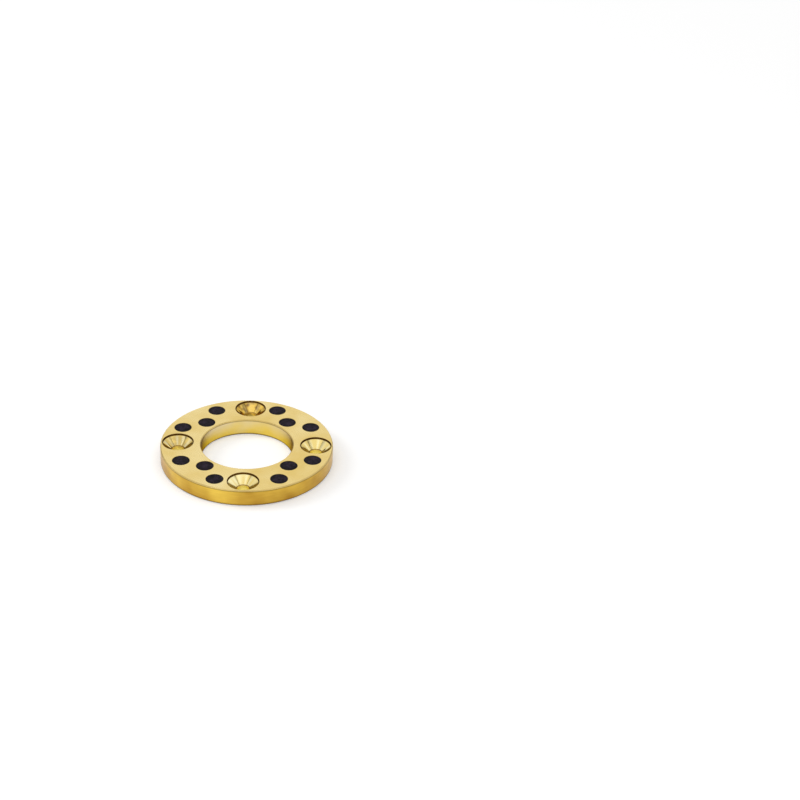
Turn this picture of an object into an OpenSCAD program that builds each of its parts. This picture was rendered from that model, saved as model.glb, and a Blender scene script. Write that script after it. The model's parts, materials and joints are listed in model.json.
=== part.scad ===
// Graphite-plugged bronze thrust washer.
// A flat turned ring with a plain bore. Countersunk holes take the screws that hold it to its seat,
// and solid graphite plugs, set right through the ring between the screws, keep it lubricated.
// The back face lies on Z = 0, and the sliding face, with the countersinks, looks along +Z.
// Angles run counter-clockwise seen from the sliding face, and one screw hole lies on the X axis.

/* [Ring] */
// Outer diameter
outer_d = 60; // [57:0.5:90]
// Bore diameter
bore_d = 32; // [20:0.5:34]
// Thickness from the back face to the sliding face
thickness = 6; // [4.5:0.1:12]
// Chamfer of the rim and of the bore, at both faces
edge_chamfer = 0.3; // [0.1:0.05:0.5]

/* [Screw holes] */
// Number of screw holes, evenly spaced
screw_count = 4; // [3:1:5]
// Diameter of the straight hole that the screw passes through
screw_hole_d = 4.3; // [3.4:0.1:5.5]
// Diameter of the countersink's mouth
countersink_d = 10.7; // [9:0.1:12]
// Included angle of the countersink's cone
countersink_angle = 100; // [82:1:120]
// Straight lip above the cone, which keeps the screw's head below the sliding face
countersink_lip = 0.5; // [0.1:0.1:1]
// Flat land between the countersink's mouth and the rim's chamfer
countersink_land = 0.35; // [0.1:0.05:1]

/* [Graphite plugs] */
// Diameter of a plug
plug_d = 6; // [4:0.1:7]
// Radial room for the bond between a plug and its hole
plug_fit = 0.02; // [0.01:0.01:0.1]
// Bronze between an outer plug and the rim
plug_rim_wall = 2; // [1:0.1:3]
// Bronze between an inner plug and the bore
plug_bore_wall = 1.2; // [0.8:0.1:2]
// Bronze between a countersink and the outer plug that comes after it
plug_wall_after = 3.85; // [1:0.05:5]
// Bronze between a countersink and the outer plug that comes before it
plug_wall_before = 1.35; // [1:0.05:3]

/* [Hidden] */
bronze_colour = [0.87, 0.75, 0.42];
graphite_colour = [0.14, 0.13, 0.15];
$fn = 128;

// Distance that each cutting shape runs past the faces it opens
cut_over = 1;

bore_r = bore_d / 2;
outer_r = outer_d / 2;

// Section of a screw hole: the straight hole, then the cone, then the lip
screw_hole_r = screw_hole_d / 2;
countersink_r = countersink_d / 2;
lip_z = thickness - countersink_lip;
cone_z = lip_z - (countersink_r - screw_hole_r) / tan(countersink_angle / 2);

// Circles that the screws and the two rows of plugs stand on
plug_r = plug_d / 2;
screw_circle_r = outer_r - edge_chamfer - countersink_land - countersink_r;
outer_plug_circle_r = outer_r - plug_rim_wall - plug_r;
inner_plug_circle_r = bore_r + plug_bore_wall + plug_r;

// Angle, seen from the bore's axis, between a screw hole and an outer plug with this wall between them
function screw_to_plug(wall) =
    let (a = screw_circle_r, b = outer_plug_circle_r, c = countersink_r + wall + plug_r)
    acos((a * a + b * b - c * c) / (2 * a * b));

// Each bay between two screws holds a first and a last outer plug, and an inner plug midway
screw_step = 360 / screw_count;
first_in_bay = screw_to_plug(plug_wall_after);
last_in_bay = screw_step - screw_to_plug(plug_wall_before);
middle_of_bay = (first_in_bay + last_in_bay) / 2;

bays = [for (bay = [0 : screw_count - 1]) bay * screw_step];
screw_angles = bays;
outer_plug_angles = [for (bay = bays, angle = [first_in_bay, last_in_bay]) bay + angle];
inner_plug_angles = [for (bay = bays) bay + middle_of_bay];

outer_plug_names = [for (i = [1 : len(outer_plug_angles)]) str("outer_plug_", i)];
inner_plug_names = [for (i = [1 : len(inner_plug_angles)]) str("inner_plug_", i)];

// Stands a shape on a circle round the bore's axis
module on_circle(radius, angle) {
    rotate(angle) translate([radius, 0, 0]) children();
}

// The ring before it is drilled, turned from one section with chamfered corners
module turned_blank() {
    rotate_extrude()
        polygon([
            [bore_r + edge_chamfer, 0],
            [outer_r - edge_chamfer, 0],
            [outer_r, edge_chamfer],
            [outer_r, thickness - edge_chamfer],
            [outer_r - edge_chamfer, thickness],
            [bore_r + edge_chamfer, thickness],
            [bore_r, thickness - edge_chamfer],
            [bore_r, edge_chamfer]
        ]);
}

// What the drill and the countersink take out for one screw
module screw_hole() {
    rotate_extrude()
        polygon([
            [0, -cut_over],
            [screw_hole_r, -cut_over],
            [screw_hole_r, cone_z],
            [countersink_r, lip_z],
            [countersink_r, thickness + cut_over],
            [0, thickness + cut_over]
        ]);
}

// What the drill takes out for one plug
module plug_hole() {
    translate([0, 0, -cut_over])
        cylinder(h = thickness + 2 * cut_over, r = plug_r + plug_fit);
}

// One graphite plug, flush with both faces
module plug() {
    color(graphite_colour) cylinder(h = thickness, r = plug_r);
}

// The drilled bronze ring
module bronze_ring() {
    color(bronze_colour)
        difference() {
            turned_blank();
            for (angle = screw_angles) on_circle(screw_circle_r, angle) screw_hole();
            for (angle = outer_plug_angles) on_circle(outer_plug_circle_r, angle) plug_hole();
            for (angle = inner_plug_angles) on_circle(inner_plug_circle_r, angle) plug_hole();
        }
}

// A plug of the row near the rim
module outer_plug(i) {
    on_circle(outer_plug_circle_r, outer_plug_angles[i]) plug();
}

// A plug of the row near the bore
module inner_plug(i) {
    on_circle(inner_plug_circle_r, inner_plug_angles[i]) plug();
}

bronze_ring();
for (i = [0 : len(outer_plug_names) - 1])
    outer_plug(i);
for (i = [0 : len(inner_plug_names) - 1])
    inner_plug(i);
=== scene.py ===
# Looks of the graphite-plugged bronze thrust washer: finely turned bronze, matt graphite, soft light.
import json
import math

import bmesh
import bpy
from mathutils import Matrix, Vector
from mathutils.geometry import delaunay_2d_cdt


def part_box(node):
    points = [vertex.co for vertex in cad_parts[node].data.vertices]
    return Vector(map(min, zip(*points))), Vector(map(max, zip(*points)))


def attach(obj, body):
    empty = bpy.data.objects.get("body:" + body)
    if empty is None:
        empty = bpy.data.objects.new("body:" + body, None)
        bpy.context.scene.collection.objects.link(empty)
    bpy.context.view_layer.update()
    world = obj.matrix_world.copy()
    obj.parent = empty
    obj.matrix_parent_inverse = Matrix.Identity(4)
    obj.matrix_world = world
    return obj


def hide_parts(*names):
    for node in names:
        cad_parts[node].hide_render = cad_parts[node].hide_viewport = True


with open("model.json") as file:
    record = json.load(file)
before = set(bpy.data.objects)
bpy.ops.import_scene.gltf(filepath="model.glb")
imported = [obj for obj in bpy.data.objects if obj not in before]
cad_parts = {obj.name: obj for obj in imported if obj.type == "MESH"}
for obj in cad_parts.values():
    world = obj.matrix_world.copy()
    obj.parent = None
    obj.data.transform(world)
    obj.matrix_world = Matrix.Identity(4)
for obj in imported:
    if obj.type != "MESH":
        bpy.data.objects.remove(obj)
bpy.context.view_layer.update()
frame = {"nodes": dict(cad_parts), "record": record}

MM = 0.001


def linear(red, green, blue):
    """A colour given as sRGB values from 0 to 255, as the linear colour that a shader takes."""
    def channel(value):
        share = value / 255
        return share / 12.92 if share <= 0.04045 else ((share + 0.055) / 1.055) ** 2.4
    return (channel(red), channel(green), channel(blue), 1.0)


# Sizes of the washer, read from the frame
RING_LOW, RING_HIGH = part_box("bronze_ring")
MOUNTS = {mount["name"]: mount for mount in frame["record"]["mounts"]}
OUTER_R = (RING_HIGH.x - RING_LOW.x) / 2
THICKNESS = RING_HIGH.z - RING_LOW.z
BORE_R = MOUNTS["bore"]["dims"]["r_mm"] * MM
SCREW_HOLE_R = MOUNTS["screw_holes"]["dims"]["hole_r_mm"] * MM
SCREW_MOUNTS = sorted(name for name in MOUNTS if name.startswith("screw_hole_"))
SCREW_CENTRES = [Vector(MOUNTS[name]["pos_m"][:2]) for name in SCREW_MOUNTS]
PLUG_NODES = sorted(name for name in frame["nodes"] if "_plug_" in name)

# Sizes of the washer that the frame doesn't name, as in the solids
EDGE_CHAMFER = 0.3 * MM
COUNTERSINK_R = 5.35 * MM
COUNTERSINK_LIP = 0.5 * MM
COUNTERSINK_ANGLE = math.radians(100)
PLUG_FIT = 0.02 * MM
CONE_DEPTH = (COUNTERSINK_R - SCREW_HOLE_R) / math.tan(COUNTERSINK_ANGLE / 2)
CONE_TOP = THICKNESS - COUNTERSINK_LIP
CONE_FOOT = CONE_TOP - CONE_DEPTH

# Fine form of the machined edges and of the plugs
EDGE_ROUND = 0.1 * MM
HOLE_EDGE_ROUND = 0.06 * MM
MOUTH_ROUND = 0.15 * MM
LIP_ROUND = 0.5 * MM
PLUG_EDGE_ROUND = 0.12 * MM
PLUG_RECESS = 0.03 * MM

# Waves that the countersinking tool leaves round each cone, with one number of waves and one strength
# for each screw hole: right, back, left and front. They swell round the cone, under a finer set of waves.
CHATTER_DEPTH = 0.035 * MM
CHATTER_LOBES = (11, 9, 11, 13)
CHATTER_STRENGTHS = (1.0, 1.9, 1.4, 0.7)
CHATTER_PHASE = 1.3
SWELL_LOBES = 3
SWELL_SHARE = 0.25
FINE_LOBES = 5
FINE_SHARE = 0.35

# Painted shade and reflection in each screw hole, in the same order: its strength, how soon it fades out
# towards the faces, the size of its blotches, the noise values between which a blotch rises, and its two
# colours
HOLE_SHADE_STRENGTHS = (0.0, 0.82, 0.35, 0.0)
HOLE_SHADE_FADE = 3.0
HOLE_SHADE_SIZE = 2.6 * MM
HOLE_SHADE_SPAN = (0.42, 0.64)
HOLE_SHADE_FILM = linear(238, 194, 78)
HOLE_SHADE_BLOTCH = linear(112, 66, 8)

# Steps of each rounding and of each cone, and the sides of each turned circle
ROUND_STEPS = 4
CONE_STEPS = 12
RIM_SEGMENTS = 256
BORE_SEGMENTS = 192
SCREW_SEGMENTS = 176
PLUG_SEGMENTS = 72

# A straight run that is long enough gets extra points this far from its ends
HOLD = 0.05 * MM
LONG_RUN = 4 * HOLD

# Flat faces are filled inside their outline, and points nearer than this are one
FILL_INSIDE = 1
FILL_MERGE = 1e-9

# Bronze: the size of its marks, its clouding and its grain, and the width of the painted shade along the
# edges of its turned walls
MARK_LENGTH = 5 * MM
CLOUD_SIZE = 13 * MM
GRAIN_SIZE = 0.35 * MM
EDGE_SHADE_WIDTH = 0.45 * MM

# Bronze: what its clouding, marks and waves add to the share of the deep tint, over the values they span
CLOUD_TINT = (0.1, 0.9)
CLOUD_SPAN = (0.32, 0.68)
MARK_TINT = (-0.2, 0.3)
# Along the cones' waves this share is painted shade, and below it painted highlight
RIPPLE_PAINTED_SHADE = (-1.0, 1.0)
RIPPLE_SPAN = (-1.6, 1.6)

# Bronze: how far its marks and its clouding change its roughness, and how high its grain stands
MARK_ROUGHNESS = 0.2
CLOUD_ROUGHNESS = 0.04
GRAIN_RELIEF = 0.25

# Bronze: the colour of the painted shade along the edges of the turned walls, and the tint of what bore
# and cones reflect at a slant
EDGE_SHADE_COLOUR = linear(112, 86, 30)
SLANT_TINT = linear(96, 58, 12)

# Graphite: the size of its grain, its mottling, its turning marks and its specks
GRAPHITE_GRAIN_SIZE = 0.16 * MM
MOTTLE_SIZE = 1.3 * MM
GRAPHITE_MARK_PITCH = 0.3 * MM
SPECK_SIZE = 0.3 * MM

# Graphite: what its grain, mottling and marks add to the share of the light tint over the values that
# they span, and the painted shade that darkens it from its middle to its rim, as shares of its box
GRAPHITE_SPAN = (0.3, 0.7)
GRAPHITE_GRAIN_TINT = (-0.15, 0.55)
MOTTLE_TINT = (-0.55, 0.65)
GRAPHITE_MARK_TINT = (-0.12, 0.18)
BOX_MIDDLE = (0.5, 0.5, 0.5)
PLUG_EDGE_PAINTED_SHADE = (0.25, -0.25)
PLUG_EDGE_SPAN = (0.5, 0.7)

# Graphite: how its specks end, and which of them are bright flecks and which are pits
SPECK_SPAN = (0.15, 0.42)
FLECK_SPAN = (0.5, 0.75)
PIT_SPAN = (0.3, 0.4)
FLECK_COLOUR = linear(80, 74, 81)
FLECK_SHARE = 0.35
FLECK_POLISH = 0.2
PIT_DEPTH = 1.5

# Graphite: how far its grain changes its roughness, the height of its relief and its faint gloss
GRAPHITE_GRAIN_ROUGHNESS = 0.12
GRAPHITE_MARK_RELIEF = 0.5
GRAPHITE_RELIEF = 0.02 * MM
GRAPHITE_GLOSS = 0.05

# Strength of the fine relief in both materials
BUMP_STRENGTH = 0.6

# Sockets that a Mix node has for colours
MIX_SHARE = 0
MIX_FIRST_COLOUR = 6
MIX_SECOND_COLOUR = 7
MIXED_COLOUR = 2

# Camera, from a fit of the outline, the bore and the holes in the photograph
PHOTO_SIDE = 800
SENSOR_WIDTH = 36.0
FOCAL_PIXELS = 1696.3
CAMERA_PITCH = math.radians(30.28)
CAMERA_ROLL = math.radians(3.04)
CAMERA_DISTANCE = 0.5943
CAMERA_NEAR = 0.01
CAMERA_FAR = 50
FACE_CENTRE_PIXEL = (246.99, 443.53)
WASHER_TURN = math.radians(2.82)

# Backdrop: white all round between a dim horizon and a dim ceiling, by the sine of the height
WHITE = (1.0, 1.0, 1.0, 1.0)
HORIZON_GLOW = 0.30
HORIZON_TOP = 0.07
BACKDROP_FOOT = 0.27
BACKDROP_TOP = 0.70
CEILING_FOOT = 0.84
CEILING_GLOW = 0.15

# Strength of the backdrop's plain soft light on the surfaces that don't mirror it
AMBIENT = 0.36

# Floor, a hair below the washer, which glows a little more to the eye further away
FLOOR_REACH = 6.0
FLOOR_GAP = 0.02 * MM
FLOOR_COLOUR = (0.86, 0.86, 0.86, 1.0)
FLOOR_GLOW = 0.30
FAR_FLOOR_GLOW = 0.73
FAR_FLOOR = 1.2

# Lamps: a wide one overhead, and a smaller one from the left that the metal doesn't mirror
OVERHEAD_PLACE = (0.0, -0.05, 0.60)
OVERHEAD_TARGET = (0.0, -0.05, 0.0)
OVERHEAD_SIDE = 0.80
OVERHEAD_POWER = 1.9
KEY_PLACE = (-0.70, 0.15, 0.55)
KEY_TARGET = (0.0, 0.0, 0.0)
KEY_SIDE = 0.35
KEY_POWER = 2.2


# Sections

def rounded(corners):
    """Points of a section with its corners rounded, each with the name of the band that follows it.

    A corner is a radius, a height, how far it is rounded, the band of the rounding and the band after it.
    The first and last corners only give the directions in which the section starts and ends.
    """
    points = []
    for before, corner, after in zip(corners, corners[1:], corners[2:]):
        place = Vector(corner[:2])
        rounding, round_band, run_band = corner[2:]
        into = (place - Vector(before[:2])).normalized()
        onward = (Vector(after[:2]) - place).normalized()
        reach = rounding * math.tan(into.angle(onward) / 2)
        start = place - into * reach
        end = place + onward * reach
        for step in range(ROUND_STEPS + 1):
            t = step / ROUND_STEPS
            curve = start * (1 - t) ** 2 + place * 2 * t * (1 - t) + end * t ** 2
            points.append((curve, round_band if step < ROUND_STEPS else run_band))
    return points


def held(points):
    """The section with extra points near both ends of each long run, so that its shading stays even."""
    section = []
    for (place, band), (following, _) in zip(points, points[1:]):
        section.append((place, band))
        run = following - place
        if run.length > LONG_RUN:
            section.append((place + run.normalized() * HOLD, band))
            section.append((following - run.normalized() * HOLD, band))
    section.append(points[-1])
    return section


def chamfered_section(wall, chamfer, band):
    """Section of a chamfered wall, from the sliding face to the back face."""
    flat = wall - chamfer
    depth = abs(chamfer)
    return held(rounded([
        (flat - chamfer, THICKNESS),
        (flat, THICKNESS, EDGE_ROUND, "edge", "edge"),
        (wall, THICKNESS - depth, EDGE_ROUND, "edge", band),
        (wall, depth, EDGE_ROUND, band, band),
        (flat, 0, EDGE_ROUND, "edge", "edge"),
        (flat - chamfer, 0),
    ]))


def screw_section():
    """Section of a screw hole: the lip, the cone in several steps, and the straight hole."""
    points = held(rounded([
        (COUNTERSINK_R + COUNTERSINK_LIP, THICKNESS),
        (COUNTERSINK_R, THICKNESS, MOUTH_ROUND, "lip", "lip"),
        (COUNTERSINK_R, CONE_TOP, LIP_ROUND, "lip", "cone"),
        (SCREW_HOLE_R, CONE_FOOT, HOLE_EDGE_ROUND, "edge", "hole"),
        (SCREW_HOLE_R, 0, HOLE_EDGE_ROUND, "edge", "edge"),
        (SCREW_HOLE_R + COUNTERSINK_LIP, 0),
    ]))
    section = []
    for (place, band), (following, _) in zip(points, points[1:]):
        section.append((place, band))
        if band == "cone" and (following - place).length > CONE_DEPTH / 2:
            steps = [k / CONE_STEPS for k in range(1, CONE_STEPS)]
            section += [(place.lerp(following, share), band) for share in steps]
            section[-1] = (section[-1][0], "seat")
    section.append(points[-1])
    return section


def plug_hole_section(radius):
    """Section of a hole that holds a plug."""
    return held(rounded([
        (radius + PLUG_FIT, THICKNESS),
        (radius, THICKNESS, HOLE_EDGE_ROUND, "edge", "hole"),
        (radius, 0, HOLE_EDGE_ROUND, "edge", "edge"),
        (radius + PLUG_FIT, 0),
    ]))


def plug_section(radius):
    """Section of a plug, from its upper end to its lower end."""
    top = THICKNESS - PLUG_RECESS
    return held(rounded([
        (0, top),
        (radius, top, PLUG_EDGE_ROUND, "edge", "side"),
        (radius, PLUG_RECESS, PLUG_EDGE_ROUND, "edge", "edge"),
        (0, PLUG_RECESS),
    ]))


def chatter(lobes, strength, phase):
    """Waviness of a cone, which dies out at the lip and at the straight hole."""
    def wave(angle, height):
        share = min(max((height - CONE_FOOT) / CONE_DEPTH, 0), 1)
        swell = 1 - SWELL_SHARE + SWELL_SHARE * math.cos(SWELL_LOBES * angle - phase)
        waves = swell * math.cos(lobes * angle + phase)
        fine_waves = FINE_SHARE * math.cos((lobes + FINE_LOBES) * angle - 2 * phase)
        return strength * math.sqrt(math.sin(math.pi * share)) * (waves + fine_waves)
    return wave


def hole_shade_at(height, painted_shade):
    """Strength of the painted shade and reflection in a screw hole at a height, which fades out towards
    both faces.
    """
    return painted_shade * min(HOLE_SHADE_FADE * math.sin(math.pi * height / THICKNESS), 1)


# Mesh building

class Shape:
    """Collects the vertices and faces of one piece, with the surface that each face belongs to."""

    def __init__(self, surfaces):
        self.surfaces = surfaces
        self.points = []
        self.ripples = []
        self.painted_shades = []
        self.faces = []

    def face(self, corners, surface, smooth):
        """Adds one face."""
        self.faces.append((corners, self.surfaces.index(surface), smooth))

    def turn(self, section, centre, segments, wave=None, painted_shade=0.0):
        """Turns a section about an upright axis, and returns the first and the last circle's vertices.

        A wave gives the ripple at an angle and a height, and painted_shade is the strength of the painted
        shade in a hole.
        """
        circles = []
        for place, _ in section:
            first = len(self.points)
            for k in range(segments):
                angle = 2 * math.pi * k / segments
                ripple = wave(angle, place.y) if wave else 0
                radius = place.x + CHATTER_DEPTH * ripple
                self.points.append((
                    centre.x + radius * math.cos(angle),
                    centre.y + radius * math.sin(angle),
                    place.y,
                ))
                self.ripples.append(ripple)
                self.painted_shades.append(hole_shade_at(place.y, painted_shade))
            circles.append(range(first, first + segments))
        for upper, lower, (_, band) in zip(circles, circles[1:], section):
            for k in range(segments):
                n = (k + 1) % segments
                self.face((upper[k], upper[n], lower[n], lower[k]), band, True)
        return circles[0], circles[-1]

    def fill(self, outline, holes, surface):
        """Fills the flat face between a circle of vertices and the circles of the holes in it."""
        loops = [list(outline)] + [list(hole) for hole in holes]
        index = [vertex for loop in loops for vertex in loop]
        flat = [Vector(self.points[vertex][:2]) for vertex in index]
        edges = []
        start = 0
        for loop in loops:
            edges += [(start + k, start + (k + 1) % len(loop)) for k in range(len(loop))]
            start += len(loop)
        rims = []
        for hole in holes:
            places = [Vector(self.points[vertex][:2]) for vertex in hole]
            middle = sum(places, Vector((0, 0))) / len(places)
            rims.append((middle, (places[0] - middle).length))
        _, _, triangles, origin, _, _ = delaunay_2d_cdt(flat, edges, [], FILL_INSIDE, FILL_MERGE)
        for triangle in triangles:
            corners = [origin[k][0] for k in triangle]
            middle = sum((flat[k] for k in corners), Vector((0, 0))) / len(corners)
            if all((middle - centre).length > radius for centre, radius in rims):
                self.face([index[k] for k in corners], surface, False)

    def make(self, name, materials):
        """The finished object, closed and with its faces turned outwards."""
        mesh = bpy.data.meshes.new(name)
        mesh.from_pydata(self.points, [], [corners for corners, _, _ in self.faces])
        for attribute, values in (("ripple", self.ripples), ("painted_shade", self.painted_shades)):
            mesh.attributes.new(attribute, "FLOAT", "POINT").data.foreach_set("value", values)
        for material in materials:
            mesh.materials.append(material)
        for polygon, (_, surface, smooth) in zip(mesh.polygons, self.faces):
            polygon.material_index = surface
            polygon.use_smooth = smooth
        work = bmesh.new()
        work.from_mesh(mesh)
        bmesh.ops.recalc_face_normals(work, faces=work.faces)
        work.to_mesh(mesh)
        work.free()
        piece = bpy.data.objects.new(name, mesh)
        bpy.context.scene.collection.objects.link(piece)
        return piece


# The two kinds of piece

def plug_centre_and_radius(node):
    """Where a plug stands and how wide it is, from its solid."""
    low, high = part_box(node)
    return Vector(((low.x + high.x) / 2, (low.y + high.y) / 2)), (high.x - low.x) / 2


def make_ring(materials):
    """The bronze ring, with each machined surface in its own finish."""
    shape = Shape(list(materials))
    axis = Vector((0, 0))
    rim = chamfered_section(OUTER_R, EDGE_CHAMFER, "rim")
    bore = chamfered_section(BORE_R, -EDGE_CHAMFER, "bore")
    rim_top, rim_low = shape.turn(rim, axis, RIM_SEGMENTS)
    holes = [shape.turn(bore, axis, BORE_SEGMENTS)]
    for k, centre in enumerate(SCREW_CENTRES):
        style = k % len(CHATTER_LOBES)
        wave = chatter(CHATTER_LOBES[style], CHATTER_STRENGTHS[style], CHATTER_PHASE * k)
        holes.append(shape.turn(screw_section(), centre, SCREW_SEGMENTS, wave, HOLE_SHADE_STRENGTHS[style]))
    for node in PLUG_NODES:
        centre, radius = plug_centre_and_radius(node)
        holes.append(shape.turn(plug_hole_section(radius + PLUG_FIT), centre, PLUG_SEGMENTS))
    shape.fill(rim_top, [top for top, _ in holes], "face")
    shape.fill(rim_low, [low for _, low in holes], "face")
    return shape.make("turned_bronze_ring", materials.values())


def make_plug(node, materials):
    """One graphite plug with broken edges, a hair below the faces of the ring."""
    shape = Shape(list(materials))
    centre, radius = plug_centre_and_radius(node)
    top, low = shape.turn(plug_section(radius), centre, PLUG_SEGMENTS)
    shape.fill(top, [], "end")
    shape.fill(low, [], "end")
    return shape.make("graphite_" + node, materials.values())


# Materials

class Nodes:
    """Short calls for building the nodes of a material or of the world."""

    def __init__(self, owner):
        owner.use_nodes = True
        self.owner = owner
        self.tree = owner.node_tree
        self.tree.nodes.clear()

    def add(self, kind, inputs=None, **settings):
        """A new node, with each of its inputs set to a value or linked to another node's output."""
        node = self.tree.nodes.new(kind)
        for key, value in settings.items():
            setattr(node, key, value)
        for key, value in (inputs or {}).items():
            if isinstance(value, bpy.types.NodeSocket):
                self.tree.links.new(value, node.inputs[key])
            else:
                node.inputs[key].default_value = value
        return node

    def math(self, operation, first, second):
        """Two values combined."""
        return self.add("ShaderNodeMath", {0: first, 1: second}, operation=operation).outputs[0]

    def total(self, first, *others):
        """Several values added up."""
        for other in others:
            first = self.math("ADD", first, other)
        return first

    def length(self, vector):
        """How long a vector is."""
        return self.add("ShaderNodeVectorMath", {0: vector}, operation="LENGTH").outputs["Value"]

    def height(self, vector):
        """How far up a vector goes."""
        return self.add("ShaderNodeSeparateXYZ", {0: vector}).outputs["Z"]

    def attribute(self, name):
        """A value that the mesh has at each point."""
        return self.add("ShaderNodeAttribute", attribute_name=name).outputs["Fac"]

    def spread(self, value, to, over=(0.0, 1.0), way="LINEAR"):
        """A value that runs over a span, spread between two others and held there beyond the span."""
        inputs = {
            "Value": value,
            "From Min": over[0],
            "From Max": over[1],
            "To Min": to[0],
            "To Max": to[1],
        }
        return self.add("ShaderNodeMapRange", inputs, interpolation_type=way).outputs[0]

    def noise(self, vector, size, detail, roughness):
        """Soft noise with features of about one size."""
        inputs = {"Vector": vector, "Scale": 1 / size, "Detail": detail, "Roughness": roughness}
        return self.add("ShaderNodeTexNoise", inputs).outputs["Fac"]

    def mix(self, share, first, second):
        """One colour with a share of another."""
        inputs = {MIX_SHARE: share, MIX_FIRST_COLOUR: first, MIX_SECOND_COLOUR: second}
        return self.add("ShaderNodeMix", inputs, data_type="RGBA").outputs[MIXED_COLOUR]

    def bump(self, height, distance):
        """Normals of a fine relief."""
        inputs = {"Strength": BUMP_STRENGTH, "Distance": distance, "Height": height}
        return self.add("ShaderNodeBump", inputs).outputs[0]

    def finish(self, shader, output="ShaderNodeOutputMaterial"):
        """Shows a shader, and returns the material or the world."""
        self.add(output, {"Surface": shader.outputs[0]})
        return self.owner


def tool_marks(nodes, place, lay, pitch):
    """Fine broken lines round the washer's axis, side by side across its radius or its height."""
    parts = nodes.add("ShaderNodeSeparateXYZ", {0: place}).outputs
    across = parts["Z"]
    if lay == "radius":
        flat = nodes.add("ShaderNodeCombineXYZ", {"X": parts["X"], "Y": parts["Y"]}).outputs[0]
        across = nodes.length(flat)
    marks_at = nodes.add("ShaderNodeCombineXYZ", {
        "X": nodes.math("MULTIPLY", parts["X"], 1 / MARK_LENGTH),
        "Y": nodes.math("MULTIPLY", parts["Y"], 1 / MARK_LENGTH),
        "Z": nodes.math("MULTIPLY", across, 1 / pitch),
    }).outputs[0]
    return nodes.noise(marks_at, size=1.0, detail=4.0, roughness=0.6)


def edge_shade_share(nodes, height):
    """A share of painted shade that rises to 1 at both ends of a turned wall."""
    low = EDGE_CHAMFER
    high = THICKNESS - EDGE_CHAMFER
    foot = nodes.spread(height, to=(1.0, 0.0), over=(low, low + EDGE_SHADE_WIDTH))
    head = nodes.spread(height, to=(0.0, 1.0), over=(high - EDGE_SHADE_WIDTH, high))
    return nodes.math("MAXIMUM", foot, head)


def hole_shade_over(nodes, place, colour):
    """A colour under painted shade and reflection, a golden film with brown blotches, as strong as the
    mesh's painted_shade.
    """
    noise = nodes.noise(place, HOLE_SHADE_SIZE, detail=1.0, roughness=0.5)
    blotches = nodes.spread(noise, to=(0.0, 1.0), over=HOLE_SHADE_SPAN)
    return nodes.mix(nodes.attribute("painted_shade"), colour, nodes.mix(blotches, HOLE_SHADE_FILM, HOLE_SHADE_BLOTCH))


def bronze(name, tint, deep, roughness, lay, pitch, relief,
           edge_shade=None, downward_shade=0.0, slant=WHITE, wave_shaded=False, hole_shaded=False):
    """Machined bronze: tool marks, a soft clouding between two tints, and a fine grain.

    A turned wall may also have painted shade along both edges, and painted shade that deepens its tint
    downwards and pales it upwards. What a surface reflects at a slant may have a tint of its own. A
    surface with waves may have painted shade and highlight that follow them, and one in a screw hole may
    have painted
    shade and reflection: a golden film with brown blotches.
    """
    nodes = Nodes(bpy.data.materials.new(name))
    place = nodes.add("ShaderNodeTexCoord").outputs["Object"]
    height = nodes.height(place)
    marks = tool_marks(nodes, place, lay, pitch)
    cloud = nodes.noise(place, CLOUD_SIZE, detail=2.0, roughness=0.5)
    grain = nodes.noise(place, GRAIN_SIZE, detail=2.0, roughness=0.5)
    share = nodes.total(nodes.spread(cloud, CLOUD_TINT, CLOUD_SPAN), nodes.spread(marks, MARK_TINT))
    # Painted shade and highlight that follow the cone's waves
    if wave_shaded:
        share = nodes.total(share, nodes.spread(nodes.attribute("ripple"), RIPPLE_PAINTED_SHADE, RIPPLE_SPAN))
    # Painted shade and light: the tint deepens towards the foot of a wall and pales towards its head
    if downward_shade:
        share = nodes.total(share, nodes.spread(height, to=(downward_shade, -downward_shade), over=(0.0, THICKNESS)))
    colour = nodes.mix(share, tint, deep)
    # Painted shade: a dark line along the foot and the head of a turned wall
    if edge_shade:
        colour = nodes.mix(edge_shade_share(nodes, height), colour, edge_shade)
    # Painted shade and reflection in the screw holes: a golden film with brown blotches
    if hole_shaded:
        colour = hole_shade_over(nodes, place, colour)
    smoothest = roughness * (1 - MARK_ROUGHNESS)
    roughest = roughness * (1 + MARK_ROUGHNESS)
    clouded = nodes.spread(cloud, to=(-CLOUD_ROUGHNESS, CLOUD_ROUGHNESS))
    shader = nodes.add("ShaderNodeBsdfPrincipled", {
        "Base Color": colour,
        "Metallic": 1.0,
        "Specular Tint": slant,
        "Roughness": nodes.total(nodes.spread(marks, to=(smoothest, roughest)), clouded),
        "Normal": nodes.bump(nodes.total(marks, nodes.spread(grain, to=(0.0, GRAIN_RELIEF))), relief),
    })
    return nodes.finish(shader)


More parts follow.
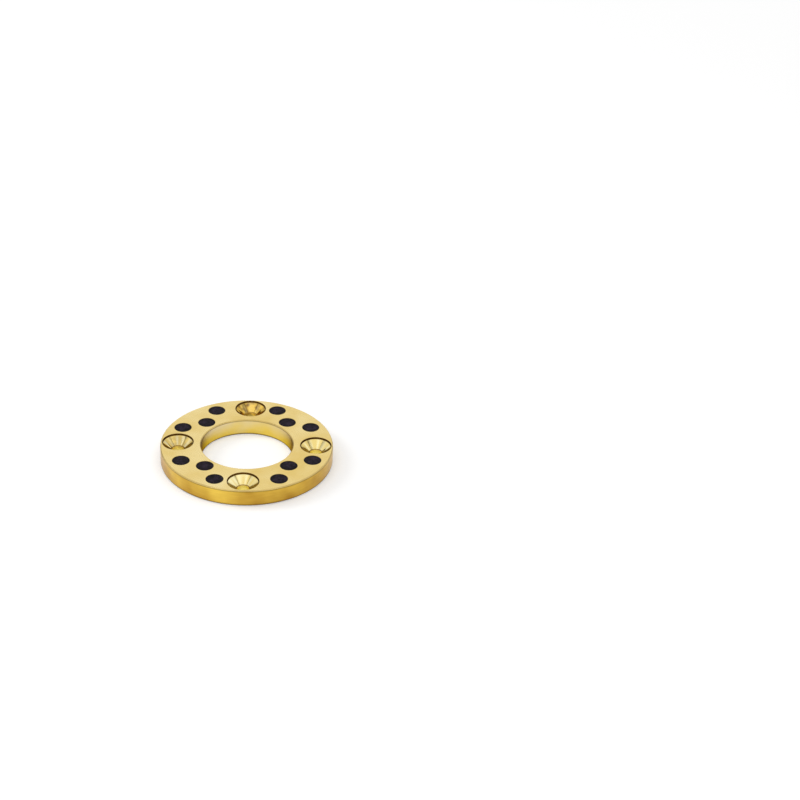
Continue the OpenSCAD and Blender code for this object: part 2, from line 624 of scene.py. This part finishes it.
def graphite(name, dark, light, roughness):
    """Dense graphite: nearly black, mottled, with a fine grain, small pits, a few bright flecks and
    painted shade at its rim.
    """
    nodes = Nodes(bpy.data.materials.new(name))
    coordinates = nodes.add("ShaderNodeTexCoord").outputs
    place = coordinates["Object"]
    grain = nodes.noise(place, GRAPHITE_GRAIN_SIZE, detail=3.0, roughness=0.6)
    mottle = nodes.noise(place, MOTTLE_SIZE, detail=3.0, roughness=0.6)
    marks = tool_marks(nodes, place, "radius", GRAPHITE_MARK_PITCH)
    cells = nodes.add("ShaderNodeTexVoronoi", {"Vector": place, "Scale": 1 / SPECK_SIZE}).outputs
    speck = nodes.spread(cells["Distance"], to=(1.0, 0.0), over=SPECK_SPAN)
    fleck = nodes.math("MULTIPLY", speck, nodes.spread(cells["Color"], to=(0.0, 1.0), over=FLECK_SPAN))
    pit = nodes.math("MULTIPLY", speck, nodes.spread(cells["Color"], to=(1.0, 0.0), over=PIT_SPAN))
    # Painted shade: the plug darkens from its middle to its rim, where it meets the ring
    ends = {0: coordinates["Generated"], 1: BOX_MIDDLE}
    from_middle = nodes.add("ShaderNodeVectorMath", ends, operation="DISTANCE").outputs["Value"]
    share = nodes.total(
        nodes.spread(grain, GRAPHITE_GRAIN_TINT, GRAPHITE_SPAN),
        nodes.spread(mottle, MOTTLE_TINT, GRAPHITE_SPAN),
        nodes.spread(marks, GRAPHITE_MARK_TINT, GRAPHITE_SPAN),
        nodes.spread(from_middle, PLUG_EDGE_PAINTED_SHADE, PLUG_EDGE_SPAN),
    )
    colour = nodes.mix(nodes.math("SUBTRACT", share, pit), dark, light)
    colour = nodes.mix(nodes.math("MULTIPLY", fleck, FLECK_SHARE), colour, FLECK_COLOUR)
    roughest = roughness + GRAPHITE_GRAIN_ROUGHNESS
    smoothest = roughness - GRAPHITE_GRAIN_ROUGHNESS
    polish = nodes.math("MULTIPLY", fleck, FLECK_POLISH)
    raised = nodes.total(grain, nodes.spread(marks, to=(0.0, GRAPHITE_MARK_RELIEF)))
    pitted = nodes.math("SUBTRACT", raised, nodes.math("MULTIPLY", pit, PIT_DEPTH))
    shader = nodes.add("ShaderNodeBsdfPrincipled", {
        "Base Color": colour,
        "Roughness": nodes.math("SUBTRACT", nodes.spread(grain, to=(roughest, smoothest)), polish),
        "Normal": nodes.bump(pitted, GRAPHITE_RELIEF),
        "Specular IOR Level": GRAPHITE_GLOSS,
    })
    return nodes.finish(shader)


def bronze_finishes():
    """One finish for each machined surface of the ring, most of them lit or shaded copies of the face's
    bronze.
    """
    return {
        "face": bronze(
            "face_turned_bronze", tint=linear(244, 224, 162), deep=linear(230, 200, 116),
            roughness=0.28, lay="radius", pitch=0.22 * MM, relief=0.006 * MM,
        ),
        # Painted shade: the chamfers and rounds are a darker copy of the face's bronze
        "edge": bronze(
            "edge_painted_shade_bronze", tint=linear(222, 196, 128), deep=linear(202, 175, 106),
            roughness=0.28, lay="height", pitch=0.3 * MM, relief=0.001 * MM,
        ),
        # Painted shade: the outer wall is a deeper, darker copy of the bronze, deeper still towards its
        # foot
        "rim": bronze(
            "rim_painted_shade_bronze", tint=linear(238, 202, 86), deep=linear(175, 129, 44),
            roughness=0.32, lay="height", pitch=0.25 * MM, relief=0.006 * MM,
            edge_shade=EDGE_SHADE_COLOUR, downward_shade=0.15,
        ),
        # Painted light and shade: the bore wall is pale at its head and a deeper gold towards its foot
        "bore": bronze(
            "bore_painted_shade_bronze", tint=linear(226, 210, 170), deep=linear(230, 200, 88),
            roughness=0.3, lay="height", pitch=0.2 * MM, relief=0.005 * MM,
            edge_shade=EDGE_SHADE_COLOUR, downward_shade=0.5, slant=SLANT_TINT,
        ),
        # Painted shade: the lip at each countersink's mouth is a dark brown copy of the bronze
        "lip": bronze(
            "lip_painted_shade_bronze", tint=linear(120, 88, 30), deep=linear(84, 57, 18),
            roughness=0.45, lay="height", pitch=0.12 * MM, relief=0.003 * MM,
        ),
        # Painted highlight: the cones are a paler, brighter copy of the bronze, with painted shade and
        # highlight along their waves
        "cone": bronze(
            "cone_painted_light_bronze", tint=linear(255, 245, 192), deep=linear(234, 210, 132),
            roughness=0.14, lay="height", pitch=0.2 * MM, relief=0.003 * MM,
            slant=SLANT_TINT, wave_shaded=True, hole_shaded=True,
        ),
        # Painted shade: the last step of each cone, next to the hole, is a darker copy of the bronze
        "seat": bronze(
            "seat_painted_shade_bronze", tint=linear(176, 138, 62), deep=linear(140, 104, 40),
            roughness=0.35, lay="height", pitch=0.12 * MM, relief=0.003 * MM,
        ),
        # Painted light: the straight holes are a bright yellow copy of the bronze
        "hole": bronze(
            "hole_painted_light_bronze", tint=linear(255, 244, 150), deep=linear(245, 224, 116),
            roughness=0.3, lay="height", pitch=0.25 * MM, relief=0.012 * MM,
            hole_shaded=True,
        ),
    }


def graphite_finishes():
    """The plug's turned ends, its broken edge as a darker copy with painted shade, and its side in the
    hole.
    """
    dark = linear(12, 8, 13)
    light = linear(50, 40, 55)
    return {
        "end": graphite("end_turned_graphite", dark, light, roughness=0.46),
        # Painted shade: the broken edge is a darker copy of the graphite, where the plug meets the ring
        "edge": graphite("edge_painted_shade_graphite", linear(12, 10, 13), linear(28, 24, 30), roughness=0.7),
        "side": graphite("side_pressed_graphite", dark, light, roughness=0.6),
    }


# Stage

def floor_material():
    """Pale to the eye and in reflections, plainly lit for the shadow, and clear from below."""
    nodes = Nodes(bpy.data.materials.new("pale_floor"))
    path = nodes.add("ShaderNodeLightPath").outputs
    seen = nodes.math("MAXIMUM", path["Is Camera Ray"], path["Is Glossy Ray"])
    seen = nodes.math("MAXIMUM", seen, path["Is Transmission Ray"])
    distance = nodes.length(nodes.add("ShaderNodeTexCoord").outputs["Object"])
    level = nodes.spread(distance, to=(FLOOR_GLOW, FAR_FLOOR_GLOW), over=(0.0, FAR_FLOOR))
    strength = nodes.math("MULTIPLY", seen, level)
    diffuse = nodes.add("ShaderNodeBsdfDiffuse", {"Color": FLOOR_COLOUR})
    glow = nodes.add("ShaderNodeEmission", {"Color": WHITE, "Strength": strength})
    lit = nodes.add("ShaderNodeAddShader", {0: diffuse.outputs[0], 1: glow.outputs[0]})
    clear = nodes.add("ShaderNodeBsdfTransparent")
    back = nodes.add("ShaderNodeNewGeometry").outputs["Backfacing"]
    shader = nodes.add("ShaderNodeMixShader", {0: back, 1: lit.outputs[0], 2: clear.outputs[0]})
    return nodes.finish(shader)


def make_floor():
    """Wide flat floor that keeps the washer's shadow."""
    sides = ((-1, -1), (1, -1), (1, 1), (-1, 1))
    corners = [(x * FLOOR_REACH, y * FLOOR_REACH, -FLOOR_GAP) for x, y in sides]
    mesh = bpy.data.meshes.new("floor")
    mesh.from_pydata(corners, [], [(0, 1, 2, 3)])
    mesh.materials.append(floor_material())
    floor = bpy.data.objects.new("floor", mesh)
    bpy.context.scene.collection.objects.link(floor)


def make_world():
    """White backdrop to the eye and in reflections, under a dimmer ceiling, and a plain soft light."""
    world = bpy.data.worlds.new("studio")
    bpy.context.scene.world = world
    nodes = Nodes(world)
    path = nodes.add("ShaderNodeLightPath").outputs
    rise = nodes.height(nodes.add("ShaderNodeTexCoord").outputs["Generated"])
    ceiling = nodes.spread(rise, (1.0, CEILING_GLOW), (BACKDROP_TOP, CEILING_FOOT), "SMOOTHSTEP")
    horizon = nodes.spread(rise, (HORIZON_GLOW, 1.0), (HORIZON_TOP, BACKDROP_FOOT), "SMOOTHSTEP")
    room = nodes.math("MULTIPLY", ceiling, horizon)
    mirrored = nodes.spread(path["Is Glossy Ray"], to=(AMBIENT, room))
    seen = nodes.math("MAXIMUM", path["Is Camera Ray"], path["Is Transmission Ray"])
    strength = nodes.spread(seen, to=(mirrored, 1.0))
    background = nodes.add("ShaderNodeBackground", {"Color": WHITE, "Strength": strength})
    nodes.finish(background, "ShaderNodeOutputWorld")


def make_light(name, place, target, side, power):
    """Square lamp that faces a target."""
    lamp = bpy.data.lights.new(name, "AREA")
    lamp.shape = "SQUARE"
    lamp.size = side
    lamp.energy = power
    light = bpy.data.objects.new(name, lamp)
    light.location = place
    light.rotation_mode = "QUATERNION"
    light.rotation_quaternion = (Vector(target) - Vector(place)).to_track_quat("-Z", "Y")
    bpy.context.scene.collection.objects.link(light)
    return light


def make_camera():
    """Puts the centre of the sliding face at its pixel of the photograph, at the fitted distance."""
    ahead = Vector((0, math.cos(CAMERA_PITCH), -math.sin(CAMERA_PITCH)))
    level = Vector((1, 0, 0))
    upward = level.cross(ahead)
    right = level * math.cos(CAMERA_ROLL) + upward * math.sin(CAMERA_ROLL)
    up = upward * math.cos(CAMERA_ROLL) - level * math.sin(CAMERA_ROLL)
    middle = PHOTO_SIDE / 2
    across = (FACE_CENTRE_PIXEL[0] - middle) / FOCAL_PIXELS
    down = (FACE_CENTRE_PIXEL[1] - middle) / FOCAL_PIXELS
    sight = (ahead + right * across - up * down).normalized()
    pose = Matrix((right, up, -ahead)).transposed().to_4x4()
    pose.translation = Vector((0, 0, THICKNESS)) - sight * CAMERA_DISTANCE
    data = bpy.data.cameras.new("camera")
    data.sensor_width = SENSOR_WIDTH
    data.lens = FOCAL_PIXELS * SENSOR_WIDTH / PHOTO_SIDE
    data.clip_start = CAMERA_NEAR
    data.clip_end = CAMERA_FAR
    camera = bpy.data.objects.new("camera", data)
    about_centre = Matrix.Rotation(-WASHER_TURN, 4, "Z")
    camera.matrix_world = about_centre @ pose
    bpy.context.scene.collection.objects.link(camera)
    bpy.context.scene.camera = camera


# The washer and its stage

make_camera()
ring = make_ring(bronze_finishes())
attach(ring, "root")
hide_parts("bronze_ring")

graphite_set = graphite_finishes()
for node in PLUG_NODES:
    plug = make_plug(node, graphite_set)
    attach(plug, "root")
    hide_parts(node)

make_floor()
make_world()
make_light("overhead", OVERHEAD_PLACE, OVERHEAD_TARGET, OVERHEAD_SIDE, OVERHEAD_POWER)
key = make_light("key", KEY_PLACE, KEY_TARGET, KEY_SIDE, KEY_POWER)
key.visible_glossy = False

bpy.context.scene.view_settings.view_transform = "Standard"
